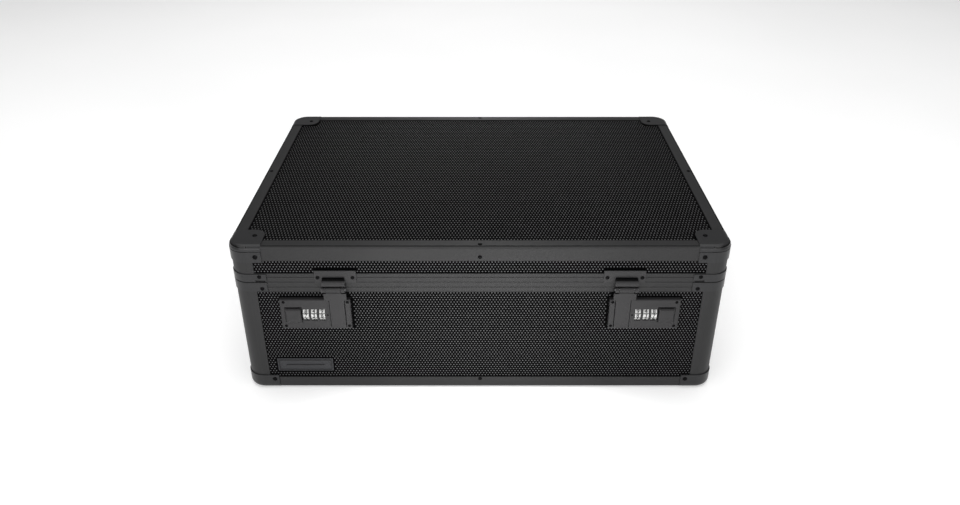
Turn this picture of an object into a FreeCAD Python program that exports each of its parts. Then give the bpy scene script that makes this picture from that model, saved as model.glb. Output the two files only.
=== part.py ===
import FreeCAD, Part
import math
import os
from FreeCAD import Vector as V

# Lockable aluminium-frame carrying case: hinged lid, two three-dial combination
# locks with hasps, two drop handles, a folding lid stay, a lid pocket and a
# steel-cable tether. Frame: millimetres, origin on the floor under the middle
# of the case, +Z up, -Y the front with the locks, +X the end with the tether.

# ---------------------------------------------------------------- dimensions
CAP_X, CAP_Y, CAP_Z = 235.0, 170.5, 165.0     # half width, half depth, height over the caps
PROUD = 1.0                                   # caps stand this proud of the trims
TX, TY = CAP_X - PROUD, CAP_Y - PROUD         # outer faces of trims and posts
TZ0, TZ1 = PROUD, CAP_Z - PROUD               # underside and top of the trims
T = 1.2                                       # trim sheet thickness
PX, PY = TX - T, TY - T                       # outer faces of the panels
PANEL = 5.0                                   # panel thickness
LIN_X, LIN_Y = 222.5, 157.5                   # inner faces of the wall lining
R_CORNER = 16.0                               # plan radius of the corner
SEAM = 126.0                                  # height of the seam
GAP = 0.2                                     # half the seam gap
RIM_B0 = 115.2                                # lower edge of the base rim
RIM_L1 = 135.2                                # upper edge of the lid rim
TRIM_H = 15.0                                 # height of the top trim's front flange
TRIM_D = 12.5                                 # depth of the top trim's top flange
TRIM_B = 12.2                                 # height of the bottom trim's flange
POST = 22.5                                   # reach of a corner post along each wall
CAP = 32.5                                    # reach of a corner cap along each wall
CAP_H = 17.5                                  # height of a corner cap
BRACE = 34.5                                  # reach of a rim corner brace
FLOOR = 18.0                                  # inside floor
LID_IN = 144.0                                # inside face of the lid

HINGE_Y, HINGE_Z = 173.9, SEAM                # lid hinge axis
HASP_Y, HASP_Z = -173.8, 120.1                # hasp pin axis
LOCK_X = (-191.0, -123.5)                     # left lock housing
LOCK_Z = (75.3, 108.3)
LOCK_Y = (-173.3, PY * -1)                    # outer and back face of the housing
DIAL_X = (-166.6, -158.9, -151.1)
DIAL_Z, DIAL_Y, DIAL_R = 91.1, -167.5, 7.5
AXLE_R, RUN = 1.5, 0.05                       # shafts and their radial clearance

HANDLE_X, HANDLE_Z = 238.5, 98.0              # drop handle pivot axis
HANDLE_Y = 60.0                               # half the pivot spacing
STAY_R, STAY_DZ = 77.0, 6.0                   # stay pivots: distance from the hinge axis, offset from the seam
STAY_LINK = 70.0

TETHER_R = 2.0                                # vinyl coated steel cable, 4 mm
TETHER_Y, TETHER_Z = 131.0, 120.2
COIL_C, COIL_MID = (214.0, 222.0), 23.0

os.makedirs("parts", exist_ok=True)


# ------------------------------------------------------------------- helpers
def box(x0, x1, y0, y1, z0, z1):
    return Part.makeBox(x1 - x0, y1 - y0, z1 - z0, V(x0, y0, z0))


def cyl(r, p, axis, h):
    return Part.makeCylinder(r, h, V(*p), V(*axis))


def rbox(hx, hy, z0, z1, r):
    # upright block with rounded plan corners, centred on the origin
    b = box(-hx, hx, -hy, hy, z0, z1)
    e = [k for k in b.Edges if abs(k.Vertexes[0].X - k.Vertexes[1].X) < 1e-6
         and abs(k.Vertexes[0].Y - k.Vertexes[1].Y) < 1e-6]
    return b.makeFillet(r, e)


def ring(hx, hy, z0, z1, r, t):
    return rbox(hx, hy, z0, z1, r).cut(rbox(hx - t, hy - t, z0 - 1, z1 + 1, max(r - t, 0.5)))


def fillet_z(b, r, z):
    e = [k for k in b.Edges if all(abs(v.Z - z) < 1e-6 for v in k.Vertexes)]
    return b.makeFillet(r, e)


def soft(b, r):
    return b.makeFillet(r, b.Edges)


def mx(s):
    return s.mirror(V(0, 0, 0), V(1, 0, 0))


def my(s):
    return s.mirror(V(0, 0, 0), V(0, 1, 0))


def four(s):
    return [s, mx(s), my(s), mx(my(s))]


def comp(*a):
    out = []
    for s in a:
        if isinstance(s, (list, tuple)):
            out += list(s)
        else:
            out.append(s)
    flat = []
    for s in out:
        flat += s.Solids
    return flat[0] if len(flat) == 1 else Part.makeCompound(flat)


NODES = {}


def put(name, *shapes):
    NODES[name] = comp(*shapes)


def dome(p, n, r=2.3, h=1.0, sides=20):
    # low domed rivet head sitting on a face at p, its axis along n, as flat facets
    n = V(*n)
    e1 = V(0, 0, 1) if abs(n.z) < 0.5 else V(1, 0, 0)
    e2 = n.cross(e1)
    p = V(*p)
    rings = [(r, 0.0), (r, 0.22 * h), (0.90 * r, 0.52 * h), (0.66 * r, 0.80 * h), (0.32 * r, h)]
    pts = []
    for rr, hh in rings:
        pts.append([p + n * hh + e1 * (rr * math.cos(2 * math.pi * k / sides)) + e2 * (rr * math.sin(2 * math.pi * k / sides)) for k in range(sides)])
    faces = [Part.Face(Part.makePolygon(pts[0] + [pts[0][0]])), Part.Face(Part.makePolygon(pts[-1] + [pts[-1][0]]))]
    for i in range(len(rings) - 1):
        for k in range(sides):
            q = (k + 1) % sides
            faces.append(Part.Face(Part.makePolygon([pts[i][k], pts[i][q], pts[i + 1][q], pts[i + 1][k], pts[i][k]])))
    s = Part.Solid(Part.Shell(faces))
    if s.Volume < 0:
        s.reverse()
    return s


# --------------------------------------------------------------- base shell
front_cut = box(-173.1, -144.9, -200, 0, 81.5, 100.7)
base_front = box(-216, 216, -PY, -PY + PANEL, TZ0 + T, 124.0)
base_front = base_front.cut(front_cut).cut(mx(front_cut))
put("base_front_panel", base_front)

grommet_hole = cyl(8.0, (-190.0, 150.0, 75.0), (0, 1, 0), 30)
base_back = box(-216, 216, PY - PANEL, PY, TZ0 + T, 124.0).cut(grommet_hole)
put("base_back_panel", base_back)

tether_hole = cyl(3.5, (200.0, TETHER_Y, TETHER_Z), (1, 0, 0), 50)
side = box(-PX, -PX + PANEL, -151.5, 151.5, TZ0 + T, 124.0)
put("base_left_panel", side)
put("base_right_panel", mx(side).cut(tether_hole))

bpan = rbox(PX - PANEL - 0.2, PY - PANEL - 0.2, TZ0 + T, 7.2, 2.0)
put("base_bottom_panel", bpan)

lining = rbox(PX - PANEL, PY - PANEL, 7.2, 124.0, 2.0).cut(rbox(LIN_X, LIN_Y, 0, 130, 3.0))
lining = lining.cut(front_cut).cut(mx(front_cut)).cut(grommet_hole).cut(tether_hole)
put("base_wall_lining", lining)
pad = fillet_z(rbox(LIN_X - 0.2, LIN_Y - 0.2, 7.2, FLOOR, 3.0), 2.0, FLOOR)
put("base_floor_pad", pad)


def trim(z_edge, up, cut_gap):
    # four L-section trims round one horizontal edge of the shell, mitred under the caps
    if up:
        o = fillet_z(rbox(TX, TY, z_edge - TRIM_H, z_edge, R_CORNER), 2.5, z_edge)
        a = rbox(TX - T, TY - T, z_edge - TRIM_H - 1, z_edge - T, R_CORNER - T)
        b = box(-TX + TRIM_D, TX - TRIM_D, -TY + TRIM_D, TY - TRIM_D, z_edge - TRIM_H, z_edge + 1)
        z0, z1 = z_edge - TRIM_H - 1, z_edge + 1
    else:
        o = fillet_z(rbox(TX, TY, z_edge, z_edge + TRIM_B, R_CORNER), 2.5, z_edge)
        a = rbox(TX - T, TY - T, z_edge + T, z_edge + TRIM_B + 1, R_CORNER - T)
        b = box(-TX + TRIM_D, TX - TRIM_D, -TY + TRIM_D, TY - TRIM_D, z_edge - 1, z_edge + TRIM_H)
        z0, z1 = z_edge - 1, z_edge + TRIM_B + 1
    s = o.cut(a).cut(b)
    c = box(-TX - 1, -TX + cut_gap, -TY - 1, -TY + cut_gap, z0, z1)
    for k in four(c):
        s = s.cut(k)
    return s


base_trim = trim(TZ0, False, 28.0)


def post(z0, z1):
    s = ring(TX, TY, z0, z1, R_CORNER, T)
    keep = box(-TX - 1, -TX + POST, -TY - 1, -TY + POST, z0, z1)
    p = s.common(keep)
    # folded inner edge line along each flange
    return four(p)


put("base_corner_posts", post(TZ0 + T + 4.5, RIM_B0))


def cap(up):
    # pressed three-way ball corner
    z0, z1 = (CAP_Z - CAP_H, CAP_Z) if up else (0.0, CAP_H - 1.5)
    ze = CAP_Z if up else 0.0
    o = rbox(CAP_X, CAP_Y, z0, z1, R_CORNER + PROUD)
    o = fillet_z(o, 5.5, ze)
    if up:
        i = fillet_z(rbox(TX, TY, z0 - 1, TZ1, R_CORNER), 3.5, TZ1)
    else:
        i = fillet_z(rbox(TX, TY, TZ0, z1 + 1, R_CORNER), 3.5, TZ0)
    s = o.cut(i)
    if up:
        # crease pressed round the outside
        s = s.cut(ring(CAP_X + 1, CAP_Y + 1, CAP_Z - 6.6, CAP_Z - 5.8, R_CORNER + PROUD + 1, 1.5))
    keep = box(-CAP_X - 1, -CAP_X + CAP, -CAP_Y - 1, -CAP_Y + CAP, z0 - 1, z1 + 1)
    # the flat plate's inner corner is a lobe round the rivet
    q = box(-CAP_X + 14.0, -CAP_X + CAP + 0.5, -CAP_Y + 14.0, -CAP_Y + CAP + 0.5, z0 - 1, z1 + 1)
    lobe = Part.makeCylinder(10.5, z1 - z0 + 2, V(-CAP_X + 22.0, -CAP_Y + 22.0, z0 - 1))
    strip1 = box(-CAP_X - 1, -CAP_X + 22.0, -CAP_Y - 1, -CAP_Y + CAP, z0 - 1, z1 + 1)
    strip2 = box(-CAP_X - 1, -CAP_X + CAP, -CAP_Y - 1, -CAP_Y + 22.0, z0 - 1, z1 + 1)
    keep = keep.common(strip1.fuse(strip2).fuse(lobe))
    return four(s.common(keep))


base_caps = cap(False)
put("base_corner_caps", base_caps)
put("base_bottom_trim", base_trim.cut(Part.makeCompound(base_caps)))


def rim(lo, hi, web_lo, web_hi, inner):
    # rounded channel that closes the panel edges: outer flange and web
    o = ring(TX, TY, lo, hi, R_CORNER, T)
    web = rbox(TX, TY, web_lo, web_hi, R_CORNER).cut(rbox(inner[0], inner[1], web_lo - 1, web_hi + 1, 3.0))
    return o.fuse(web).removeSplitter()


groove_b = ring(TX + 1, TY + 1, 120.2, 120.9, R_CORNER + 1, 1.35)
base_rim = rim(RIM_B0, SEAM - GAP, 124.0, SEAM - GAP, (LIN_X, LIN_Y)).cut(groove_b)
tongue = rbox(LIN_X + 1.8, LIN_Y + 1.8, 124.5, 127.8, 4.5).cut(rbox(LIN_X, LIN_Y, 120, 130, 3.0))
tongue = tongue.common(box(-300, 300, -300, 120, 124.5, 127.8))
base_rim = base_rim.fuse(tongue).removeSplitter().cut(tether_hole)
put("base_rim_frame", base_rim)


def brace(lo, hi):
    s = ring(TX + 0.8, TY + 0.8, lo, hi, R_CORNER + 0.8, 0.8)
    keep = box(-TX - 1, -TX - 1 + BRACE, -TY - 1, -TY - 1 + BRACE, lo, hi)
    return s.common(keep)


put("base_rim_braces", four(brace(RIM_B0 + 0.6, SEAM - GAP - 0.3)))

# ---------------------------------------------------------------- lid shell
lid_front = box(-216, 216, -PY, -PY + PANEL, 128.0, TZ1 - T)
lid_side = box(-PX, -PX + PANEL, -151.5, 151.5, 128.0, TZ1 - T)
put("lid_long_panels", lid_front, my(lid_front))
put("lid_end_panels", lid_side, mx(lid_side))
put("lid_top_panel", rbox(PX - PANEL - 0.2, PY - PANEL - 0.2, TZ1 - T - PANEL, TZ1 - T, 2.0))
put("lid_corner_posts", post(RIM_L1, TZ1 - 6.0))
lid_caps = cap(True)
put("lid_corner_caps", lid_caps)
put("lid_top_trim", trim(TZ1, True, 28.0).cut(Part.makeCompound(lid_caps)))
groove_l = ring(TX + 1, TY + 1, 131.0, 131.7, R_CORNER + 1, 1.35)
lid_rim = rim(SEAM + GAP, RIM_L1, SEAM + GAP, 128.0, (LIN_X + 2.5, LIN_Y + 2.5)).cut(groove_l)
notch = box(-211.0, -201.6, -TY - 2, -TY + 0.9, SEAM, 128.4)
for k in four(notch):
    lid_rim = lid_rim.cut(k)
put("lid_rim_frame", lid_rim)
lb = brace(SEAM + GAP + 0.3, RIM_L1 - 0.6).cut(notch)
put("lid_rim_braces", four(lb))
lid_lining = rbox(PX - PANEL, PY - PANEL, 128.2, TZ1 - T - PANEL, 2.0).cut(rbox(LIN_X, LIN_Y, 120, 165, 3.0))
put("lid_wall_lining", lid_lining)
lpad = fillet_z(rbox(LIN_X - 0.2, LIN_Y - 0.2, LID_IN, TZ1 - T - PANEL, 3.0), 2.0, LID_IN)
put("lid_lining_pad", lpad)

# pocket on the lid's inside, open at the edge towards the front
put("pocket_mesh", soft(box(-205, 205, -136.0, 148.0, 141.4, 143.7), 0.9))
hem = soft(box(-205, 205, -144.0, -136.2, 140.2, 143.7), 1.4)
bind = soft(box(-213, -205.2, -144.0, 148.0, 141.2, 143.7), 1.0)
put("pocket_binding", hem, bind, mx(bind), soft(box(-213, 213, 148.2, 154.0, 141.2, 143.7), 1.0))

# ------------------------------------------------------------- back hinges
base_leaf, lid_leaf, pins = [], [], []
for xc in (-140.0, 140.0):
    segs = [(-30, -18.2), (-17.8, -6.2), (-5.8, 5.8), (6.2, 17.8), (18.2, 30)]
    pb = box(xc - 30, xc + 30, TY, TY + 1.2, 115.8, 124.8)
    pl = box(xc - 30, xc + 30, TY, TY + 1.2, 127.2, 135.0)
    for i, (a, b) in enumerate(segs):
        k = cyl(2.8, (xc + a, HINGE_Y, HINGE_Z), (1, 0, 0), b - a)
        if i % 2 == 0:
            w = box(xc + a, xc + b, TY, HINGE_Y, 123.3, 124.8)
            pb = pb.fuse(w).fuse(k)
        else:
            w = box(xc + a, xc + b, TY, HINGE_Y, 127.2, 128.7)
            pl = pl.fuse(w).fuse(k)
    # the pin is held in the base knuckles and runs in the lid's
    pb = pb.cut(cyl(AXLE_R, (xc - 40, HINGE_Y, HINGE_Z), (1, 0, 0), 80))
    pl = pl.cut(cyl(AXLE_R + RUN, (xc - 40, HINGE_Y, HINGE_Z), (1, 0, 0), 80))
    base_leaf.append(pb)
    lid_leaf.append(pl)
    pins.append(cyl(AXLE_R, (xc - 30.4, HINGE_Y, HINGE_Z), (1, 0, 0), 60.8))
put("base_hinge_leaves", base_leaf)
put("lid_hinge_leaves", lid_leaf)
put("hinge_pins", pins)

# ----------------------------------------------------- grommet in the back
gr = cyl(8.0, (-190.0, LIN_Y - 0.8, 75.0), (0, 1, 0), PY - LIN_Y + 0.8 + 1.2)
gr = gr.fuse(cyl(11.0, (-190.0, PY, 75.0), (0, 1, 0), 1.2)).fuse(cyl(11.0, (-190.0, LIN_Y - 1.2, 75.0), (0, 1, 0), 1.2))
gr = gr.cut(cyl(6.0, (-190.0, 140.0, 75.0), (0, 1, 0), 50))
put("cable_grommet", gr)

# -------------------------------------------------------------- lock, left
X0, X1 = LOCK_X
Z0, Z1 = LOCK_Z
h = box(X0, X1, LOCK_Y[0], LOCK_Y[1], Z0, Z1)
e = [k for k in h.Edges if all(abs(v.Y - LOCK_Y[0]) < 1e-6 for v in k.Vertexes)]
h = h.makeChamfer(0.8, e)
back = box(-172.9, -145.1, LOCK_Y[1], -157.9, 81.7, 100.5)
h = h.fuse(back)
# dial pockets and their windows
for xd in DIAL_X:
    h = h.cut(cyl(DIAL_R + 0.4, (xd - 2.9, DIAL_Y, DIAL_Z), (1, 0, 0), 5.8))
    w = Part.makePolygon([V(xd - 2.9, LOCK_Y[0] - 0.1, DIAL_Z - 6.65), V(xd - 2.9, LOCK_Y[0] - 0.1, DIAL_Z + 6.65),
                          V(xd - 2.9, LOCK_Y[0] + 1.6, DIAL_Z + 5.4), V(xd - 2.9, LOCK_Y[0] + 1.6, DIAL_Z - 5.4),
                          V(xd - 2.9, LOCK_Y[0] - 0.1, DIAL_Z - 6.65)])
    h = h.cut(Part.Face(w).extrude(V(5.8, 0, 0)))
h = h.cut(cyl(AXLE_R, (-171.5, DIAL_Y, DIAL_Z), (1, 0, 0), 25.0))
# channel for the hasp blade, open at the top, and the deeper slot for its staple
h = h.cut(box(-143.7, -128.3, LOCK_Y[0] - 1, -170.8, 77.3, Z1 + 1))
h = h.cut(box(-139.6, -132.4, -171, -168.9, 78.6, Z1 + 1))
# cavity of the button's stem and the bolt's tunnel
h = h.cut(box(-185.4, -175.6, -171.7, LOCK_Y[1] + 0.01, 79.2, 95.5))
h = h.cut(box(-185.4, -175.6, LOCK_Y[0] - 1, -171.0, 86.4, 95.5))
h = h.cut(box(-176.0, -139.5, -171.5, LOCK_Y[1] + 0.01, 79.2, 82.2).cut(box(-172.9, -145.1, -169.0, LOCK_Y[1] + 0.02, 81.7, 100.5)))
# shallow recess that the button stands in
h = h.cut(box(-186.8, -170.1, LOCK_Y[0] - 1, LOCK_Y[0] + 0.9, 82.9, 100.0))
# reset hole beside the inner dial
h = h.cut(cyl(0.9, (-145.9, LOCK_Y[0] - 0.1, 91.1), (0, 1, 0), 1.6))
put("left_lock_housing", h)
put("right_lock_housing", mx(h))
ax = cyl(AXLE_R, (-171.5, DIAL_Y, DIAL_Z), (1, 0, 0), 25.0)
put("dial_axles", ax, mx(ax))

# dials: ten-sided number wheels with shallow waists between the digits
def dial(xd):
    pts = []
    for i in range(10):
        a = math.radians(36 * i + 18)
        pts.append(V(xd - 2.6, DIAL_Y + DIAL_R * math.cos(a), DIAL_Z + DIAL_R * math.sin(a)))
    pts.append(pts[0])
    d = Part.Face(Part.makePolygon(pts)).extrude(V(5.2, 0, 0))
    for i in range(10):
        a = math.radians(36 * i + 18)
        d = d.cut(cyl(0.45, (xd - 3, DIAL_Y + (DIAL_R + 0.1) * math.cos(a), DIAL_Z + (DIAL_R + 0.1) * math.sin(a)), (1, 0, 0), 6))
    return d.cut(cyl(AXLE_R + RUN, (xd - 5, DIAL_Y, DIAL_Z), (1, 0, 0), 10))


for i, xd in enumerate(DIAL_X):
    d = dial(xd)
    put("left_dial_%d" % (i + 1), d)
    put("right_dial_%d" % (i + 1), mx(d))

# button: square cap with a stem and the latch bolt
b = box(-186.0, -171.5, -175.6, LOCK_Y[0] - 0.3, 83.4, 98.4)
e = [k for k in b.Edges if all(abs(v.Y + 175.6) < 1e-6 for v in k.Vertexes)]
b = b.makeChamfer(1.2, e)
b = b.fuse(box(-181.0, -176.3, LOCK_Y[0] - 0.4, -169.3, 87.0, 95.0))
b = b.fuse(box(-181.0, -176.3, -171.3, -169.3, 79.7, 95.0))
b = b.fuse(box(-176.4, -140.0, -171.2, -169.3, 79.7, 81.4)).removeSplitter()
put("left_lock_button", b)
put("right_lock_button", mx(b))

# ------------------------------------------------------------ hasp, left
XC = -136.0
kp = box(-155.2, -116.1, -TY - 1.4, -TY, SEAM + 0.5, 138.9)
roll = cyl(3.1, (-148.6, -TY - 3.4, SEAM + 0.4), (1, 0, 0), 21.9)
roll = roll.common(box(-160, -110, -TY - 8, -TY - 0.5, 110, 140))
kp = kp.fuse(roll)
for a, c in ((-149.0, -145.5), (-130.5, -127.0)):
    kp = kp.fuse(box(a, c, -TY - 2.6, -TY - 0.9, HASP_Z, 127.0))
    kp = kp.fuse(cyl(2.9, (a, HASP_Y, HASP_Z), (1, 0, 0), c - a))
kp = kp.removeSplitter().cut(cyl(1.2, (-160, HASP_Y, HASP_Z), (1, 0, 0), 60))
put("left_hasp_keeper", kp)
put("right_hasp_keeper", mx(kp))
hp = cyl(1.2, (-149.4, HASP_Y, HASP_Z), (1, 0, 0), 22.8)
put("hasp_pins", hp, mx(hp))

hs = cyl(2.9, (-145.1, HASP_Y, HASP_Z), (1, 0, 0), 14.2)
hs = hs.fuse(box(-145.1, -130.9, -175.2, -172.4, 112.0, HASP_Z))
hs = hs.fuse(box(-147.5, -126.2, -175.2, -172.4, 108.9, 116.2))
hs = hs.fuse(box(-143.0, -129.0, -174.3, -171.4, 78.0, 112.0))
hs = hs.fuse(box(-139.2, -132.8, -171.6, -169.2, 79.0, 83.0)).removeSplitter()
hs = hs.cut(cyl(1.2 + RUN, (-160, HASP_Y, HASP_Z), (1, 0, 0), 60))
put("left_hasp", hs)
put("right_hasp", mx(hs))

# ------------------------------------------------------------- name plate
npl = box(-202.4, -146.8, -PY - 0.9, -PY, 20.8, 36.0)
npl = npl.makeChamfer(0.4, [k for k in npl.Edges if all(abs(v.Y + PY + 0.9) < 1e-6 for v in k.Vertexes)])
put("nameplate", npl, dome((-199.0, -PY - 0.9, 28.4), (0, -1, 0), 1.1, 0.5), dome((-150.2, -PY - 0.9, 28.4), (0, -1, 0), 1.1, 0.5))

# ----------------------------------------------------------- end handles
HX, HZ, HY = HANDLE_X, HANDLE_Z, HANDLE_Y
mp = box(PX, PX + 1.5, -76.0, 76.0, HZ - 9.0, HZ + 11.0)
mp = mp.makeFillet(5.0, [k for k in mp.Edges if abs(k.Vertexes[0].Y - k.Vertexes[1].Y) < 1e-6 and abs(k.Vertexes[0].Z - k.Vertexes[1].Z) < 1e-6 and abs(k.Vertexes[0].X - k.Vertexes[1].X) > 1])
for s in (-1, 1):
    y0, y1 = sorted((s * (HY + 4.4), s * (HY + 9.4)))
    ear = box(PX + 1.4, HX, y0, y1, HZ - 3.2, HZ + 3.2).fuse(cyl(3.2, (HX, y0, HZ), (0, 1, 0), y1 - y0))
    mp = mp.fuse(ear)
mp = mp.removeSplitter().cut(cyl(2.0 + RUN, (HX, -90, HZ), (0, 1, 0), 180))
put("handle_mounts", mp, mx(mp))


def arm_path():
    # round-section bail: down one arm, along the grip and up the other
    r = 12.0
    zb = HZ - 56.0
    p = [V(HX, -HY, HZ), V(HX, -HY, zb + r), V(HX, -HY + r, zb), V(HX, HY - r, zb), V(HX, HY, zb + r), V(HX, HY, HZ)]
    m1 = V(HX, -HY + r - r * math.cos(math.pi / 4), zb + r - r * math.sin(math.pi / 4))
    m2 = V(HX, HY - r + r * math.cos(math.pi / 4), zb + r - r * math.sin(math.pi / 4))
    ed = [Part.LineSegment(p[0], p[1]).toShape(), Part.Arc(p[1], m1, p[2]).toShape(),
          Part.LineSegment(p[2], p[3]).toShape(), Part.Arc(p[3], m2, p[4]).toShape(),
          Part.LineSegment(p[4], p[5]).toShape()]
    return Part.Wire(ed)


prof = Part.Wire([Part.Circle(V(HX, -HY, HZ), V(0, 0, 1), 2.5).toShape()])
bail = arm_path().makePipeShell([prof], True, False)
for s in (-1, 1):
    y0, y1 = sorted((s * (HY - 3.2), s * (HY + 3.8)))
    bail = bail.fuse(cyl(3.1, (HX, y0, HZ), (0, 1, 0), y1 - y0))
    y0, y1 = sorted((s * (HY + 3.7), s * (HY + 9.4)))
    bail = bail.fuse(cyl(2.0, (HX, y0, HZ), (0, 1, 0), y1 - y0))
zb = HZ - 56.0
grip = Part.makeBox(6.6, 92, 13.0, V(HX - 3.4, -46, zb - 6.5))
grip = grip.makeFillet(2.6, [k for k in grip.Edges if abs(k.Vertexes[0].Y - k.Vertexes[1].Y) > 1])
grip = grip.cut(cyl(2.5, (HX, -100, zb), (0, 1, 0), 200))
put("right_handle", bail)
put("left_handle", mx(bail))
put("right_handle_grip", grip)
put("left_handle_grip", mx(grip))

# -------------------------------------------------------------- lid stay
AY = HINGE_Y - STAY_R
AZ, BZ = SEAM - STAY_DZ, SEAM + STAY_DZ
OA = math.hypot(STAY_R, STAY_DZ)
half = math.atan2(STAY_DZ, STAY_R)
OE = OA * math.cos(half) + math.sqrt(STAY_LINK ** 2 - (OA * math.sin(half)) ** 2)
EY, EZ = HINGE_Y - OE, SEAM
WX = -LIN_X


def link(x0, x1, p, q, hole):
    w = 4.0
    d = V(0, q[0] - p[0], q[1] - p[1])
    ln = d.Length
    d.normalize()
    n = V(0, -d.z, d.y)
    a = V(x0, p[0], p[1])
    b = V(x0, q[0], q[1])
    f = Part.Face(Part.makePolygon([a + n * w, b + n * w, b - n * w, a - n * w, a + n * w]))
    s = f.extrude(V(x1 - x0, 0, 0))
    s = s.fuse(cyl(w, (x0, p[0], p[1]), (1, 0, 0), x1 - x0)).fuse(cyl(w, (x0, q[0], q[1]), (1, 0, 0), x1 - x0))
    return s.removeSplitter().cut(cyl(hole, (x0 - 1, p[0], p[1]), (1, 0, 0), x1 - x0 + 2))


low = link(WX + 1.6, WX + 3.2, (AY, AZ), (EY, EZ), AXLE_R + RUN)
low = low.fuse(dome((WX + 1.6, EY, EZ), (-1, 0, 0), 3.0, 0.8))
up = link(WX + 3.6, WX + 5.2, (AY, BZ), (EY, EZ), AXLE_R + RUN)
up = up.fuse(dome((WX + 5.2, EY, EZ), (1, 0, 0), 3.0, 0.9))
put("stay_lower_link", low)
put("stay_upper_link", up)
bb = box(WX, WX + 1.2, AY - 9, AY + 9, 108.0, 123.6)
bb = bb.fuse(cyl(AXLE_R, (WX + 1.0, AY, AZ), (1, 0, 0), 2.6)).fuse(cyl(2.9, (WX + 3.5, AY, AZ), (1, 0, 0), 0.8))
put("stay_base_bracket", bb)
lbk = box(WX, WX + 1.2, AY - 9, AY + 9, 128.4, 140.6)
lbk = lbk.fuse(cyl(3.2, (WX + 1.0, AY, BZ), (1, 0, 0), 2.3)).fuse(cyl(AXLE_R, (WX + 3.0, AY, BZ), (1, 0, 0), 2.6))
lbk = lbk.fuse(cyl(2.9, (WX + 5.5, AY, BZ), (1, 0, 0), 0.9))
put("stay_lid_bracket", lbk)

# ---------------------------------------------------------------- rivets
TOP, BOT = CAP_Z, 0.0
bl, ll = [], []
for sx in (-1, 1):
    for sy in (-1, 1):
        # caps
        ll.append(dome((sx * 211.5, sy * 149.5, CAP_Z), (0, 0, 1)))
        ll.append(dome((sx * 208.0, sy * CAP_Y, 153.4), (0, sy, 0)))
        ll.append(dome((sx * CAP_X, sy * 143.5, 153.4), (sx, 0, 0)))
        bl.append(dome((sx * 207.0, sy * CAP_Y, 11.4), (0, sy, 0)))
        bl.append(dome((sx * CAP_X, sy * 142.5, 11.4), (sx, 0, 0)))
        # rim braces
        ll.append(dome((sx * 207.0, sy * (TY + 0.8), 131.9), (0, sy, 0), 2.0, 0.9))
        ll.append(dome((sx * (TX + 0.8), sy * 142.5, 131.9), (sx, 0, 0), 2.0, 0.9))
        bl.append(dome((sx * 205.7, sy * (TY + 0.8), 118.9), (0, sy, 0), 2.0, 0.9))
        bl.append(dome((sx * (TX + 0.8), sy * 141.2, 118.9), (sx, 0, 0), 2.0, 0.9))
for sy in (-1, 1):
    ll.append(dome((0, sy * (TY - 5.3), TZ1), (0, 0, 1), 2.0, 0.8))
    ll.append(dome((0, sy * TY, 153.2), (0, sy, 0), 2.0, 0.8))
    bl.append(dome((0, sy * TY, 11.0), (0, sy, 0), 2.0, 0.8))
for sx in (-1, 1):
    ll.append(dome((sx * (TX - 5.3), 0, TZ1), (0, 0, 1), 2.0, 0.8))
    ll.append(dome((sx * TX, 0, 153.2), (sx, 0, 0), 2.0, 0.8))
    bl.append(dome((sx * TX, 0, 11.0), (sx, 0, 0), 2.0, 0.8))
    for xr, zr in ((187.0, 105.6), (187.0, 78.6), (126.0, 105.6), (126.0, 78.6)):
        bl.append(dome((sx * xr, LOCK_Y[0], zr), (0, -1, 0), 1.5, 0.6))
    for xr in (152.2, 119.4):
        ll.append(dome((sx * xr, -TY - 1.4, 131.6), (0, -1, 0), 1.9, 0.8))
    for yr in (-71.0, -24.0, 24.0, 71.0):
        bl.append(dome((sx * (PX + 1.5), yr, HZ + 7.3), (sx, 0, 0), 1.9, 0.9))
    for xr in (-22.0, 0.0, 22.0):
        bl.append(dome((sx * 140.0 + xr, TY + 1.2, 119.2), (0, 1, 0), 1.7, 0.7))
        ll.append(dome((sx * 140.0 + xr, TY + 1.2, 132.4), (0, 1, 0), 1.7, 0.7))
for yr in (-6.0, 6.0):
    bl.append(dome((WX + 1.2, AY + yr, 111.5), (1, 0, 0), 1.6, 0.7))
    ll.append(dome((WX + 1.2, AY + yr, 137.6), (1, 0, 0), 1.6, 0.7))
put("base_rivets", bl)
put("lid_rivets", ll)

# ---------------------------------------------------------------- tether
TYY, TZZ = TETHER_Y, TETHER_Z
anchor = cyl(3.4, (LIN_X - 3.0, TYY, TZZ), (1, 0, 0), 238.0 - LIN_X + 3.0)
anchor = anchor.fuse(cyl(4.8, (TX, TYY, TZZ), (1, 0, 0), 1.6)).fuse(cyl(5.2, (LIN_X - 3.0, TYY, TZZ), (1, 0, 0), 3.0))
put("tether_wall_anchor", anchor)

ROUTE = [(238.0, 131.0, 120.2), (249.5, 131.0, 119.6), (259.8, 131.4, 113.4), (265.2, 132.4, 102.4),
         (266.4, 134.2, 88.0), (266.0, 136.8, 69.0), (265.4, 140.5, 47.0), (264.0, 148.0, 25.0), (260.5, 160.5, 9.5),
         (254.0, 178.5, 3.4), (246.5, 199.5, 2.6), (237.0, 222.0, 2.6)]


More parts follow.
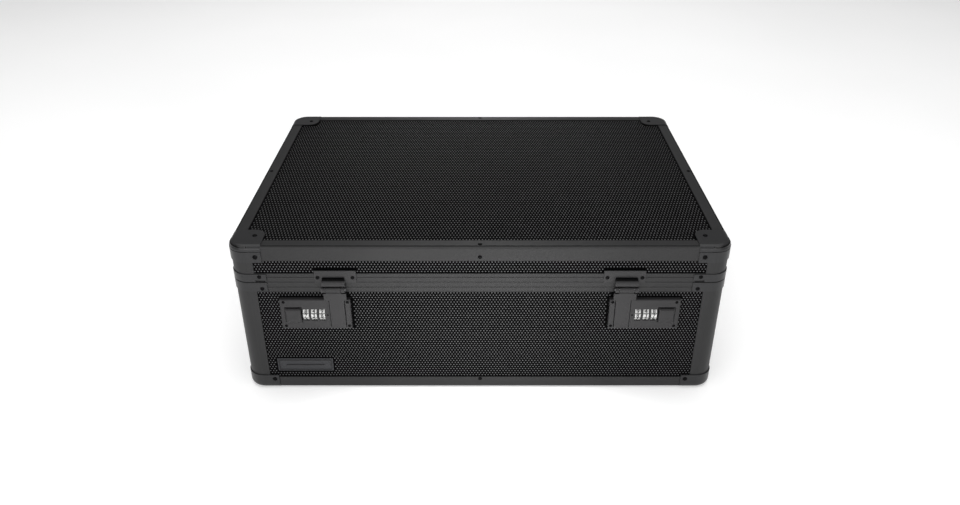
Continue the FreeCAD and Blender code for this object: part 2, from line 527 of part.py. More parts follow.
def cord(route, r, last_tangent=None):
    pts = [V(*p) for p in route]
    edges = []
    start = pts[0]
    for i in range(1, len(pts) - 1):
        a, b, c = pts[i - 1], pts[i], pts[i + 1]
        u = (a - b)
        w = (c - b)
        lu, lw = u.Length, w.Length
        u.normalize()
        w.normalize()
        ang = math.acos(max(-1, min(1, u.dot(w))))
        turn = math.pi - ang
        t = 0.45 * min(lu, lw)
        rad = t / math.tan(turn / 2)
        bis = (u + w)
        bis.normalize()
        ctr = b + bis * (rad / math.cos(turn / 2))
        p1, p2 = b + u * t, b + w * t
        mid = ctr - bis * rad
        edges.append(Part.LineSegment(start, p1).toShape())
        edges.append(Part.Arc(p1, mid, p2).toShape())
        start = p2
        print("cord point %d: turn %.0f deg, radius %.1f, runs %.1f %.1f" % (i, math.degrees(turn), rad, lu, lw))
    edges.append(Part.LineSegment(start, pts[-1]).toShape())
    wire = Part.Wire(edges)
    d = pts[1] - pts[0]
    pr = Part.Wire([Part.Circle(pts[0], d, r).toShape()])
    tube = wire.makePipeShell([pr], True, False)
    print("tube length %.1f, volume %.1f, expected %.1f" % (wire.Length, tube.Volume, wire.Length * math.pi * r * r))
    return tube


tube = cord(ROUTE, TETHER_R)
cx, cy = COIL_C
coil = Part.makeCylinder(COIL_MID + 4.2, 12.2, V(cx, cy, 0.2)).cut(Part.makeCylinder(COIL_MID - 4.4, 20, V(cx, cy, -1)))
coil = coil.makeFillet(1.8, [k for k in coil.Edges if k.Length > 50 and len(k.Vertexes) == 1 and abs(k.BoundBox.ZLength) < 1e-6])
tube = tube.cut(Part.makeCylinder(COIL_MID + 4.2, 12.2, V(cx, cy, 0.2)))
tube = max(tube.Solids, key=lambda s: s.Volume)
put("tether_cable", tube)
put("tether_coil", coil)
# swaged eye on the free end, lying across the coil
fe = cyl(2.9, (cx - 22.0, cy - 3.0, 15.2), (0, 1, 0), 15.0)
fe = fe.makeFillet(0.8, [k for k in fe.Edges if len(k.Vertexes) == 1 and k.Length > 15 and k.Length < 20])
eye = Part.makeTorus(8.0, 1.6, V(cx - 22.0, cy - 11.5, 13.9), V(0, 0, 1))
put("tether_end_eye", fe.fuse(eye))

for name, shape in NODES.items():
    ok = shape.isValid()
    if not ok:
        print("INVALID", name)
    shape.exportStep("parts/%s.step" % name)
print(len(NODES), "nodes")
bbx = Part.makeCompound([s for n, s in NODES.items() if not n.startswith("tether")]).BoundBox
print("box", bbx)
print("AY %.3f AZ %.3f BZ %.3f EY %.3f EZ %.3f WX %.2f" % (AY, AZ, BZ, EY, EZ, WX))
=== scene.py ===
import bpy, bmesh, math, random
import numpy as np
from mathutils import Vector, Matrix, noise


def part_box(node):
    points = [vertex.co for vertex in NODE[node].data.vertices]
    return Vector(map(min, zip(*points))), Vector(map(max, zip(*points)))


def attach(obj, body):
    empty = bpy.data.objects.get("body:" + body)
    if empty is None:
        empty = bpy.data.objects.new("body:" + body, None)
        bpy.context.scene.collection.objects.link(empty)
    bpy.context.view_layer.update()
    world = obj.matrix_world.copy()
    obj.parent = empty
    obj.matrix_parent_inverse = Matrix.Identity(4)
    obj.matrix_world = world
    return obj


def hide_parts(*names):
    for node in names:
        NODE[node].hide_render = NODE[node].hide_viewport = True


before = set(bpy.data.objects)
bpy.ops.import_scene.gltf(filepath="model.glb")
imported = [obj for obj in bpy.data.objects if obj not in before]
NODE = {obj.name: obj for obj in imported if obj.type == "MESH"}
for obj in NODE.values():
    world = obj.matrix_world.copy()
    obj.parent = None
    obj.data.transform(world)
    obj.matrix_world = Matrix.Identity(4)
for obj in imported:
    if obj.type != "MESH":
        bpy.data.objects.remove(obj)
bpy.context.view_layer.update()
scene = bpy.context.scene
MM = 0.001

# ------------------------------------------------------------------ camera
cam_data = bpy.data.cameras.new("camera")
cam = bpy.data.objects.new("camera", cam_data)
scene.collection.objects.link(cam)
cam_data.lens = 30.7
cam_data.sensor_width = 36.0
cam_data.clip_end = 50
cam.location = (0.0, -0.824, 0.534)
cam.rotation_euler = (math.radians(60.13), 0, 0)
scene.camera = cam


# --------------------------------------------------------- material helpers
def new_mat(name):
    m = bpy.data.materials.new(name)
    m.use_nodes = True
    nt = m.node_tree
    bsdf = nt.nodes["Principled BSDF"]
    return m, nt, bsdf


def nd(nt, kind, **kw):
    n = nt.nodes.new(kind)
    for k, v in kw.items():
        setattr(n, k, v)
    return n


def coords(nt, scale=(1, 1, 1)):
    tc = nd(nt, "ShaderNodeTexCoord")
    mp = nd(nt, "ShaderNodeMapping")
    mp.inputs["Scale"].default_value = scale
    nt.links.new(tc.outputs["Object"], mp.inputs["Vector"])
    return mp.outputs["Vector"]


def noise_tex(nt, vec, scale, detail=3.0, rough=0.5):
    n = nd(nt, "ShaderNodeTexNoise")
    n.inputs["Scale"].default_value = scale
    n.inputs["Detail"].default_value = detail
    n.inputs["Roughness"].default_value = rough
    nt.links.new(vec, n.inputs["Vector"])
    return n.outputs["Fac"]


def ramp(nt, fac, stops):
    r = nd(nt, "ShaderNodeValToRGB")
    el = r.color_ramp.elements
    while len(el) < len(stops):
        el.new(0.5)
    for e, (p, c) in zip(el, stops):
        e.position = p
        e.color = (c[0], c[1], c[2], 1)
    nt.links.new(fac, r.inputs["Fac"])
    return r.outputs["Color"]


def span(nt, fac, lo, hi):
    mr = nd(nt, "ShaderNodeMapRange")
    mr.inputs["To Min"].default_value = lo
    mr.inputs["To Max"].default_value = hi
    nt.links.new(fac, mr.inputs["Value"])
    return mr.outputs["Result"]


def bump(nt, bsdf, height, strength, dist):
    b = nd(nt, "ShaderNodeBump")
    b.inputs["Strength"].default_value = strength
    b.inputs["Distance"].default_value = dist
    nt.links.new(height, b.inputs["Height"])
    nt.links.new(b.outputs["Normal"], bsdf.inputs["Normal"])
    return b


def tint(c, k):
    return (c[0] * k, c[1] * k, c[2] * k)


def powder(name, c, rough=0.46, metallic=0.0, grain=2600, spec=0.45):
    # fine orange-peel powder coat: faint cloudy tone, satin, with a close grain
    m, nt, b = new_mat(name)
    v = coords(nt)
    big = noise_tex(nt, v, 14, 3)
    nt.links.new(ramp(nt, big, [(0.3, tint(c, 0.90)), (0.7, tint(c, 1.10))]), b.inputs["Base Color"])
    fine = noise_tex(nt, v, grain, 2, 0.6)
    nt.links.new(span(nt, fine, rough - 0.07, rough + 0.09), b.inputs["Roughness"])
    bump(nt, b, fine, 0.10, 0.00012)
    b.inputs["Metallic"].default_value = metallic
    b.inputs["Specular IOR Level"].default_value = spec
    return m


def steel(name, c, rough=0.28, along=(1, 60, 60)):
    m, nt, b = new_mat(name)
    v = coords(nt, along)
    n = noise_tex(nt, v, 60, 4, 0.6)
    nt.links.new(ramp(nt, n, [(0.25, tint(c, 0.82)), (0.75, tint(c, 1.08))]), b.inputs["Base Color"])
    nt.links.new(span(nt, n, rough - 0.08, rough + 0.12), b.inputs["Roughness"])
    bump(nt, b, n, 0.06, 0.0001)
    b.inputs["Metallic"].default_value = 1.0
    return m


def weave(name, c, scale=900, rough=0.9, depth=0.00025, sheen=0.35):
    # plain woven lining: two crossed thread waves with a soft mottling
    m, nt, b = new_mat(name)
    v = coords(nt)
    waves = []
    for d in ("X", "Y", "Z"):
        w = nd(nt, "ShaderNodeTexWave", wave_type="BANDS", bands_direction=d)
        w.inputs["Scale"].default_value = scale / 6.283
        w.inputs["Distortion"].default_value = 0.4
        w.inputs["Detail"].default_value = 1.0
        nt.links.new(v, w.inputs["Vector"])
        waves.append(w.outputs["Fac"])
    a = nd(nt, "ShaderNodeMath", operation="MULTIPLY")
    nt.links.new(waves[0], a.inputs[0]); nt.links.new(waves[1], a.inputs[1])
    a2 = nd(nt, "ShaderNodeMath", operation="MAXIMUM")
    nt.links.new(a.outputs[0], a2.inputs[0]); nt.links.new(waves[2], a2.inputs[1])
    mot = noise_tex(nt, v, 40, 4)
    mx_ = nd(nt, "ShaderNodeMath", operation="MULTIPLY")
    nt.links.new(a2.outputs[0], mx_.inputs[0]); nt.links.new(span(nt, mot, 0.7, 1.2), mx_.inputs[1])
    nt.links.new(ramp(nt, mx_.outputs[0], [(0.0, tint(c, 0.55)), (0.9, tint(c, 1.45))]), b.inputs["Base Color"])
    b.inputs["Roughness"].default_value = rough
    b.inputs["Sheen Weight"].default_value = sheen
    b.inputs["Sheen Roughness"].default_value = 0.5
    bump(nt, b, a2.outputs[0], 0.6, depth)
    return m


def rubber(name, c, rough=0.62):
    m, nt, b = new_mat(name)
    v = coords(nt)
    n = noise_tex(nt, v, 700, 3, 0.6)
    nt.links.new(ramp(nt, n, [(0.3, tint(c, 0.85)), (0.7, tint(c, 1.2))]), b.inputs["Base Color"])
    nt.links.new(span(nt, n, rough - 0.06, rough + 0.1), b.inputs["Roughness"])
    bump(nt, b, n, 0.25, 0.00015)
    return m


TRIM = (0.0165, 0.0163, 0.0167)
M = {}
M["trim"] = powder("trim_powder_coat", TRIM, 0.46, spec=0.24)
M["cap"] = powder("cap_powder_coat", (0.0170, 0.0170, 0.0178), 0.33, spec=0.27)
M["lock"] = powder("lock_powder_coat", (0.0200, 0.0194, 0.0202), 0.42, spec=0.24)
M["rivet"] = powder("rivet_black", (0.0012, 0.0012, 0.0014), 0.30, spec=0.05)
M["plate"] = powder("nameplate_satin", (0.022, 0.0225, 0.025), 0.42, spec=0.28)
M["handle"] = powder("handle_powder_coat", (0.05, 0.05, 0.052), 0.40, spec=0.35)
M["pin"] = steel("zinc_steel", (0.36, 0.36, 0.37), 0.32)
M["stay"] = steel("nickel_steel", (0.50, 0.50, 0.49), 0.26, (60, 1, 60))
M["lining"] = weave("lining_weave", (0.020, 0.020, 0.022))
M["tape"] = weave("binding_weave", (0.017, 0.017, 0.018), 1500, 0.85, 0.0002)
M["rubber"] = rubber("grip_rubber", (0.013, 0.013, 0.014))
M["grommet"] = rubber("grommet_rubber", (0.011, 0.011, 0.011), 0.7)
M["ferrule"] = powder("ferrule_black", (0.020, 0.020, 0.022), 0.35)

# white enamelled dials, faintly mottled
m, nt, b = new_mat("dial_enamel")
v = coords(nt)
n = noise_tex(nt, v, 300, 3)
nt.links.new(ramp(nt, n, [(0.2, (0.36, 0.36, 0.355)), (0.8, (0.52, 0.52, 0.51))]), b.inputs["Base Color"])
nt.links.new(span(nt, n, 0.25, 0.4), b.inputs["Roughness"])
bump(nt, b, n, 0.04, 0.0001)
b.inputs["Coat Weight"].default_value = 0.3
M["dial"] = m
m, nt, b = new_mat("dial_ink")
v = coords(nt)
n = noise_tex(nt, v, 900, 2)
nt.links.new(ramp(nt, n, [(0.2, (0.004, 0.004, 0.0045)), (0.8, (0.010, 0.010, 0.011))]), b.inputs["Base Color"])
b.inputs["Roughness"].default_value = 0.5
M["ink"] = m

# substrate of the embossed sheet, between the bumps
m, nt, b = new_mat("panel_ground")
v = coords(nt)
n = noise_tex(nt, v, 1800, 3)
nt.links.new(ramp(nt, n, [(0.3, (0.0006, 0.0006, 0.0007)), (0.7, (0.0013, 0.0013, 0.0014))]), b.inputs["Base Color"])
nt.links.new(span(nt, n, 0.6, 0.8), b.inputs["Roughness"])
b.inputs["Specular IOR Level"].default_value = 0.025
bump(nt, b, n, 0.15, 0.0001)
M["ground"] = m

# raised points of the embossed sheet: near black at the foot as painted shade, lighter grey on the crown as a painted
# highlight, with a random tone variation
m, nt, b = new_mat("panel_points_painted_highlight")
at = nd(nt, "ShaderNodeAttribute", attribute_name="crown")
v = coords(nt)
n = noise_tex(nt, v, 260, 3)
mul = nd(nt, "ShaderNodeMath", operation="MULTIPLY")
nt.links.new(at.outputs["Fac"], mul.inputs[0]); nt.links.new(span(nt, n, 0.80, 1.2), mul.inputs[1])
nt.links.new(ramp(nt, mul.outputs[0], [(0.0, (0.0015, 0.0015, 0.0017)), (0.35, (0.019, 0.019, 0.020)), (0.95, (0.100, 0.101, 0.103))]), b.inputs["Base Color"])
nt.links.new(span(nt, n, 0.26, 0.40), b.inputs["Roughness"])
b.inputs["Specular IOR Level"].default_value = 0.45
M["points"] = m

# clear grey vinyl over twisted strand
m, nt, b = new_mat("cable_vinyl")
v = coords(nt)
n = noise_tex(nt, v, 500, 3)
nt.links.new(ramp(nt, n, [(0.2, (0.05, 0.05, 0.053)), (0.8, (0.11, 0.11, 0.115))]), b.inputs["Base Color"])
nt.links.new(span(nt, n, 0.22, 0.36), b.inputs["Roughness"])
b.inputs["Metallic"].default_value = 0.4
b.inputs["Coat Weight"].default_value = 0.7
b.inputs["Coat Roughness"].default_value = 0.15
M["cable"] = m


def paint(name, mat):
    o = NODE[name]
    o.data.materials.clear()
    o.data.materials.append(mat)


for n_ in NODE:
    if "panel" in n_:
        paint(n_, M["ground"])
    elif "trim" in n_ or "posts" in n_ or "rim_frame" in n_ or "leaves" in n_:
        paint(n_, M["trim"])
    elif "caps" in n_ or "braces" in n_:
        paint(n_, M["cap"])
    elif "housing" in n_ or "keeper" in n_ or n_.endswith("_hasp") or "button" in n_:
        paint(n_, M["lock"])
    elif "rivets" in n_:
        paint(n_, M["rivet"])
    elif "_dial_" in n_:
        paint(n_, M["dial"])
    elif "pins" in n_ or "axles" in n_:
        paint(n_, M["pin"])
    elif "stay" in n_:
        paint(n_, M["stay"])
    elif "grip" in n_:
        paint(n_, M["rubber"])
    elif "handle" in n_:
        paint(n_, M["handle"])
    elif n_ == "nameplate":
        paint(n_, M["plate"])
    elif n_ == "cable_grommet":
        paint(n_, M["grommet"])
    elif n_ in ("tether_wall_anchor", "tether_end_eye"):
        paint(n_, M["ferrule"])
    elif "tether" in n_:
        paint(n_, M["cable"])
    else:
        paint(n_, M["lining"])


def add_mesh(name, verts, faces, mat, body, smooth=True):
    me = bpy.data.meshes.new(name)
    me.from_pydata([tuple(v) for v in verts], [], [tuple(f) for f in faces])
    me.update()
    o = bpy.data.objects.new(name, me)
    scene.collection.objects.link(o)
    me.materials.append(mat)
    if smooth:
        me.polygons.foreach_set("use_smooth", [True] * len(me.polygons))
    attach(o, body)
    return o


# ------------------------------------------------------------------- tether
ROUTE = [(238.0, 131.0, 120.2), (249.5, 131.0, 119.6), (259.8, 131.4, 113.4), (265.2, 132.4, 102.4),
         (266.4, 134.2, 88.0), (266.0, 136.8, 69.0), (265.4, 140.5, 47.0), (264.0, 148.0, 25.0), (260.5, 160.5, 9.5),
         (254.0, 178.5, 3.4), (246.5, 199.5, 2.6)]
CX, CY = 214.0, 222.0
R_OUT, R_IN = 24.9, 20.7


def lerp(a, b, t):
    t = max(0.0, min(1.0, t))
    t = t * t * (3 - 2 * t)
    return a + (b - a) * t


def coil_point(a):
    # a in degrees of turn: two turns on the floor, two on them, then the last
    r, z = R_OUT, 2.3
    if a < 1440 + 150:
        if a < 720 + 270:
            r = lerp(R_OUT, R_IN, (a - 318) / 42)
        else:
            r = lerp(R_IN, R_OUT, (a - 990) / 50)
    else:
        r = lerp(R_OUT, R_IN, (a - 1590) / 110) + lerp(0.0, R_OUT - R_IN, (a - 1797) / 75)
    z = lerp(2.3, 6.3, (a - 660) / 44)
    if a > 1200:
        z = lerp(6.3, 10.3, (a - 1295) / 46)
    if a > 1700:
        z = lerp(10.3, 14.3, (a - 1756) / 62)
    k = math.radians(a)
    return (CX + r * 1.016 * math.cos(k), CY + r * 1.016 * math.sin(k), z)


END_A = 1800 + 72
pts = list(ROUTE)
a = 2.0
while a <= END_A:
    pts.append(coil_point(a))
    a += 22.5
pts += [(212.3, 247.2, 14.4), (202.2, 247.2, 14.5), (195.6, 243.7, 14.8), (192.1, 237.8, 15.1), (192.0, 234.2, 15.2)]
cu = bpy.data.curves.new("tether_line", "CURVE")
cu.dimensions = "3D"
sp = cu.splines.new("NURBS")
sp.points.add(len(pts) - 1)
for p_, q_ in zip(sp.points, pts):
    p_.co = (q_[0] * MM, q_[1] * MM, q_[2] * MM, 1)
sp.order_u = 3
sp.use_endpoint_u = True
sp.resolution_u = 6
line = bpy.data.objects.new("tether_line", cu)
scene.collection.objects.link(line)
dg = bpy.context.evaluated_depsgraph_get()
tmp = bpy.data.meshes.new_from_object(line.evaluated_get(dg))
path = np.array([v.co[:] for v in tmp.vertices])
bpy.data.objects.remove(line)
seg = np.linalg.norm(np.diff(path, axis=0), axis=1)
keep = np.concatenate([[True], seg > 1e-6])
path = path[keep]
seg = np.linalg.norm(np.diff(path, axis=0), axis=1)


def tube_mesh(path, radius, sides, lobes=0, lay=0.012, depth=0.0, cap=True):
    n = len(path)
    t = np.gradient(path, axis=0)
    t /= np.linalg.norm(t, axis=1)[:, None]
    up = np.array([0.0, 1.0, 0.0])
    u = up - t[0] * up.dot(t[0]); u /= np.linalg.norm(u)
    verts, s = [], 0.0
    for i in range(n):
        if i:
            s += np.linalg.norm(path[i] - path[i - 1])
            u = u - t[i] * u.dot(t[i]); u /= np.linalg.norm(u)
        w = np.cross(t[i], u)
        for k in range(sides):
            ang = 2 * math.pi * k / sides
            r = radius
            if lobes:
                r -= depth * (0.5 - 0.5 * math.cos(lobes * (ang + 2 * math.pi * s / lay)))
            verts.append(path[i] + (u * math.cos(ang) + w * math.sin(ang)) * r)
    faces = []
    for i in range(n - 1):
        for k in range(sides):
            a_, b_ = i * sides + k, i * sides + (k + 1) % sides
            faces.append((a_, b_, b_ + sides, a_ + sides))
    if cap:
        faces.append(tuple(range(sides))[::-1])
        faces.append(tuple(range((n - 1) * sides, n * sides)))
    return verts, faces


vv, ff = tube_mesh(path, 0.00198, 16, 4, 0.016, 0.00022)
tether = add_mesh("tether_cable_strand", vv, ff, M["cable"], "case_base", True)
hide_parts("tether_cable", "tether_coil")


# -------------------------------------------------------- embossed sheets
def embossed(name, origin, du, dv, nrm, w, h, body, holes=(), round_corner=0.0, pitch=3.0, row=2.58, high=0.42):
    # staggered rows of small six-sided points over a w x h sheet, each a low six-sided cone; positions in millimetres
    o = np.array(origin, float); du = np.array(du, float); dv = np.array(dv, float); nr = np.array(nrm, float)
    cols = int((w - 1.2) / pitch)
    rows = int((h - 1.2) / row)
    u0 = (w - (cols - 0.5) * pitch) / 2
    v0 = (h - (rows - 1) * row) / 2
    cs = []
    for j in range(rows):
        for i in range(cols):
            cs.append((u0 + (i + 0.5 * (j % 2)) * pitch, v0 + j * row))
    cs = np.array(cs)
    ok = (cs[:, 0] > 1.2) & (cs[:, 0] < w - 1.2)
    for (a0, a1, b0, b1) in holes:
        ok &= ~((cs[:, 0] > a0 - 0.9) & (cs[:, 0] < a1 + 0.9) & (cs[:, 1] > b0 - 0.9) & (cs[:, 1] < b1 + 0.9))
    for (cu_, cv_, cr_) in ([x for x in round_corner] if round_corner else []):
        ok &= (cs[:, 0] - cu_) ** 2 + (cs[:, 1] - cv_) ** 2 > cr_ ** 2
    cs = cs[ok]
    n = len(cs)
    ang = np.radians(np.arange(6) * 60 + 30)
    ru, rv = pitch * 0.30, row * (0.335 if row < 3 else 0.31)
    rim_u = np.cos(ang) * ru; rim_v = np.sin(ang) * rv
    U = np.concatenate([cs[:, 0:1] + rim_u[None, :], cs[:, 0:1]], axis=1)
    W = np.concatenate([cs[:, 1:2] + rim_v[None, :], cs[:, 1:2]], axis=1)
    H = np.concatenate([np.full((n, 6), -0.04), np.full((n, 1), high)], axis=1)
    P = o + U[..., None] * du + W[..., None] * dv + H[..., None] * nr
    P = P.reshape(-1, 3) * MM
    base = (np.arange(n) * 7)[:, None]
    right = np.dot(np.cross(du, dv), nr) > 0
    tri = []
    for k in range(6):
        a_, b_ = k, (k + 1) % 6
        tri.append(np.stack([base[:, 0] + (a_ if right else b_), base[:, 0] + (b_ if right else a_), base[:, 0] + 6], axis=1))
    F = np.stack(tri, axis=1).reshape(-1, 3)
    me = bpy.data.meshes.new(name)
    me.vertices.add(len(P)); me.vertices.foreach_set("co", P.ravel())
    me.loops.add(F.size); me.loops.foreach_set("vertex_index", F.ravel().astype(np.int32))
    me.polygons.add(len(F))
    me.polygons.foreach_set("loop_start", (np.arange(len(F)) * 3).astype(np.int32))
    me.polygons.foreach_set("use_smooth", np.ones(len(F), bool))
    me.update(calc_edges=True)
    # crown mask, 1 at each point's apex: it carries the painted highlight on the crown
    crown = np.tile(np.array([0, 0, 0, 0, 0, 0, 1.0], np.float32), n)
    at_ = me.attributes.new("crown", "FLOAT", "POINT")
    at_.data.foreach_set("value", crown)
    ob = bpy.data.objects.new(name, me)
    scene.collection.objects.link(ob)
    me.materials.append(M["points"])
    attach(ob, body)
    return ob


PX, PY = 232.8, 168.3
# lid top: between the top trims, clear of the cap lobes
TW, TH = 443.6, 314.6
lob = [(x, y, 11.6) for x in (221.8 - 213.0, 221.8 + 213.0) for y in (157.3 - 148.5, 157.3 + 148.5)]
embossed("lid_top_embossing", (-TW / 2, -TH / 2, 162.8), (1, 0, 0), (0, 1, 0), (0, 0, 1), TW, TH, "lid", round_corner=lob, row=4.2, high=0.38)
for sy, nm in ((-1, "front"), (1, "back")):
    W_ = 425.4
    holes = []
    if sy < 0:
        for xa, xb in ((-191.4, -123.1), (123.1, 191.4)):
            holes.append((xa + W_ / 2, xb + W_ / 2, 75.0 - 13.0, 108.6 - 13.0))
        for xa, xb in ((-148, -125.5), (125.5, 148)):
            holes.append((xa + W_ / 2, xb + W_ / 2, 107.0 - 13.0, 116 - 13.0))
        holes.append((-202.8 + W_ / 2, -146.4 + W_ / 2, 20.4 - 13.0, 36.4 - 13.0))
    embossed("base_%s_embossing" % nm, (-W_ / 2, sy * PY, 13.0), (1, 0, 0), (0, 0, 1), (0, sy, 0), W_, 102.4, "case_base", holes,
             round_corner=0.0 if sy < 0 else [(-190.0 + W_ / 2, 75.0 - 13.0, 12.0)])
    holes = []
    if sy < 0:
        for xa, xb in ((-155.6, -115.7), (115.7, 155.6)):
            holes.append((xa + W_ / 2, xb + W_ / 2, 0, 4.2))
    embossed("lid_%s_embossing" % nm, (-W_ / 2, sy * PY, 135.0), (1, 0, 0), (0, 0, 1), (0, sy, 0), W_, 14.2, "lid", holes)
for sx, nm in ((-1, "left"), (1, "right")):
    W_ = 296.4
    embossed("base_%s_embossing" % nm, (sx * PX, -W_ / 2, 13.0), (0, 1, 0), (0, 0, 1), (sx, 0, 0), W_, 102.4, "case_base",
             [(-77 + W_ / 2, 77 + W_ / 2, 88 - 13.0, 110 - 13.0)])
    embossed("lid_%s_embossing" % nm, (sx * PX, -W_ / 2, 135.0), (0, 1, 0), (0, 0, 1), (sx, 0, 0), W_, 14.2, "lid")

# ------------------------------------------------------------ dial numbers
DX = (166.6, 158.9, 151.1)
for side, sg in (("left", -1), ("right", 1)):
    for i, x in enumerate(DX):
        bm_v, bm_f = [], []
        for d in range(10):
            tcu = bpy.data.curves.new("t", "FONT")
            tcu.body = str(d)
            tcu.size = 0.0056
            tcu.offset = 0.00010
            tcu.align_x = "CENTER"
            tcu.align_y = "CENTER"
            tcu.extrude = 0.00006
            to = bpy.data.objects.new("t", tcu)
            scene.collection.objects.link(to)
            dg = bpy.context.evaluated_depsgraph_get()
            tm = bpy.data.meshes.new_from_object(to.evaluated_get(dg))
            # facet d: its normal points this way round the axle; 0 faces out at rest
            th = math.radians(36 * (d + (3, 7, 2)[i]))
            apo = 7.5 * math.cos(math.radians(18)) * MM + 0.00003
            ny, nz = -math.cos(th), math.sin(th)
            uy, uz = math.sin(th), math.cos(th)
            mat = Matrix(((1, 0, 0, sg * x * MM), (0, uy, ny, (-167.5) * MM + ny * apo), (0, uz, nz, 91.1 * MM + nz * apo), (0, 0, 0, 1)))
            tm.transform(mat)
            off = len(bm_v)
            bm_v += [tuple(v.co) for v in tm.vertices]
            bm_f += [tuple(q + off for q in p.vertices) for p in tm.polygons]
            bpy.data.objects.remove(to)
        for d in range(10):
            # black strip between two facets, standing a hair proud: painted shade of the groove there
            th = math.radians(36 * (d + 0.5))
            ny, nz = -math.cos(th), math.sin(th)
            uy, uz = math.sin(th), math.cos(th)
            off = len(bm_v)
            for s_ in (-1, 1):
                for r_, hh in ((7.42, 0.42), (7.56, 0.26)):
                    for q in (-1, 1):
                        bm_v.append(((sg * x + s_ * 2.55) * MM, (-167.5 + ny * r_ + uy * hh * q) * MM, (91.1 + nz * r_ + uz * hh * q) * MM))
            bm_f += [tuple(off + k for k in f) for f in ((0, 1, 3, 2), (4, 6, 7, 5), (2, 3, 7, 6), (0, 2, 6, 4), (1, 5, 7, 3), (0, 4, 5, 1))]
        add_mesh("%s_dial_%d_numbers" % (side, i + 1), bm_v, bm_f, M["ink"], "%s_dial_%d" % (side, i + 1), False)


# --------------------------------------------- painted shade: black strips at keeper and hasp where the gaps fall in shadow
def slab(out, lo, hi, bev):
    # closed box with its front edges rounded over
    x0, y0, z0 = lo; x1, y1, z1 = hi
    off = len(out[0])
    ring = ((x0, y1, z0), (x1, y1, z0), (x1, y1, z1), (x0, y1, z1),
            (x0, y0 + bev, z0), (x1, y0 + bev, z0), (x1, y0 + bev, z1), (x0, y0 + bev, z1),
            (x0 + bev * .3, y0 + bev * .3, z0 + bev * .3), (x1 - bev * .3, y0 + bev * .3, z0 + bev * .3), (x1 - bev * .3, y0 + bev * .3, z1 - bev * .3), (x0 + bev * .3, y0 + bev * .3, z1 - bev * .3),
            (x0 + bev, y0, z0 + bev), (x1 - bev, y0, z0 + bev), (x1 - bev, y0, z1 - bev), (x0 + bev, y0, z1 - bev))
    out[0].extend([(p[0] * MM, p[1] * MM, p[2] * MM) for p in ring])
    for a_ in (0, 4, 8):
        for k in range(4):
            out[1].append((off + a_ + k, off + a_ + (k + 1) % 4, off + a_ + 4 + (k + 1) % 4, off + a_ + 4 + k))
    out[1].append(tuple(off + 12 + k for k in range(4)))
    out[1].append(tuple(off + k for k in (3, 2, 1, 0)))


# near black with hardly any specular: a material for painted shade lines
M["slot"] = powder("painted_shade_black", (0.0010, 0.0010, 0.0011), 0.6, spec=0.03)
for side, sg in (("left", -1), ("right", 1)):
    xa, xb = sorted((sg * 127.4, sg * 147.8))
    o1 = ([], [])
    slab(o1, (xa, -173.05, 129.9), (xb, -170.9, 131.6), 0.25)
    slab(o1, (xa, -174.55, 122.95), (xb, -171.5, 123.65), 0.15)
    add_mesh("%s_keeper_slots" % side, o1[0], o1[1], M["slot"], "lid", False)
    o2 = ([], [])
    slab(o2, (xa + 2.2, -175.55, 117.15), (xb - 2.2, -173.0, 117.85), 0.12)
    add_mesh("%s_hasp_slot" % side, o2[0], o2[1], M["slot"], "%s_hasp" % side, False)

# the button sits in a recess: the black strips above it and beside its inner edge, and one more further in, are painted
# shade
for side, sg in (("left", -1), ("right", 1)):
    o3 = ([], [])
    xa, xb = sorted((sg * 170.2, sg * 186.7))
    slab(o3, (xa, -172.75, 98.75), (xb, -172.3, 99.95), 0.12)
    xa, xb = sorted((sg * 170.15, sg * 171.15))
    slab(o3, (xa, -172.75, 84.5), (xb, -172.3, 98.7), 0.12)
    xa, xb = sorted((sg * 124.6, sg * 125.5))
    slab(o3, (xa, -171.35, 83.0), (xb, -170.75, 102.5), 0.12)
    add_mesh("%s_lock_recess" % side, o3[0], o3[1], M["slot"], "case_base", False)

# painted dark lines on the top frame: painted shade along its upper step, and round each corner cap a painted shade
# line in the crease and a painted dark reflection along the rolled edge
from mathutils.bvhtree import BVHTree
caps = NODE["lid_corner_caps"]
bvh = BVHTree.FromPolygons([v.co.copy() for v in caps.data.vertices], [tuple(p.vertices) for p in caps.data.polygons])


def bead(out, pts_, nrm_, half, out_by, in_by):
    # flat dark line: a low rounded strip that follows pts_, standing out_by
    # from the surface and sunk in_by into it
    off = len(out[0]); n_ = len(pts_)
    for i in range(n_):
        p = Vector(pts_[i]); nn = Vector(nrm_[i]).normalized()
        t_ = (Vector(pts_[min(i + 1, n_ - 1)]) - Vector(pts_[max(i - 1, 0)])).normalized()
        sd = t_.cross(nn).normalized()
        for a_, b_ in ((-half, -in_by), (-half * 0.9, out_by * 0.4), (0, out_by), (half * 0.9, out_by * 0.4), (half, -in_by)):
            out[0].append(tuple((p + sd * a_ + nn * b_) * MM))
    for i in range(n_ - 1):
        for k in range(5):
            a_, b_ = off + i * 5 + k, off + i * 5 + (k + 1) % 5
            out[1].append((a_, b_, b_ + 5, a_ + 5))
    out[1].append(tuple(off + k for k in range(5))[::-1])
    out[1].append(tuple(off + (n_ - 1) * 5 + k for k in range(5)))


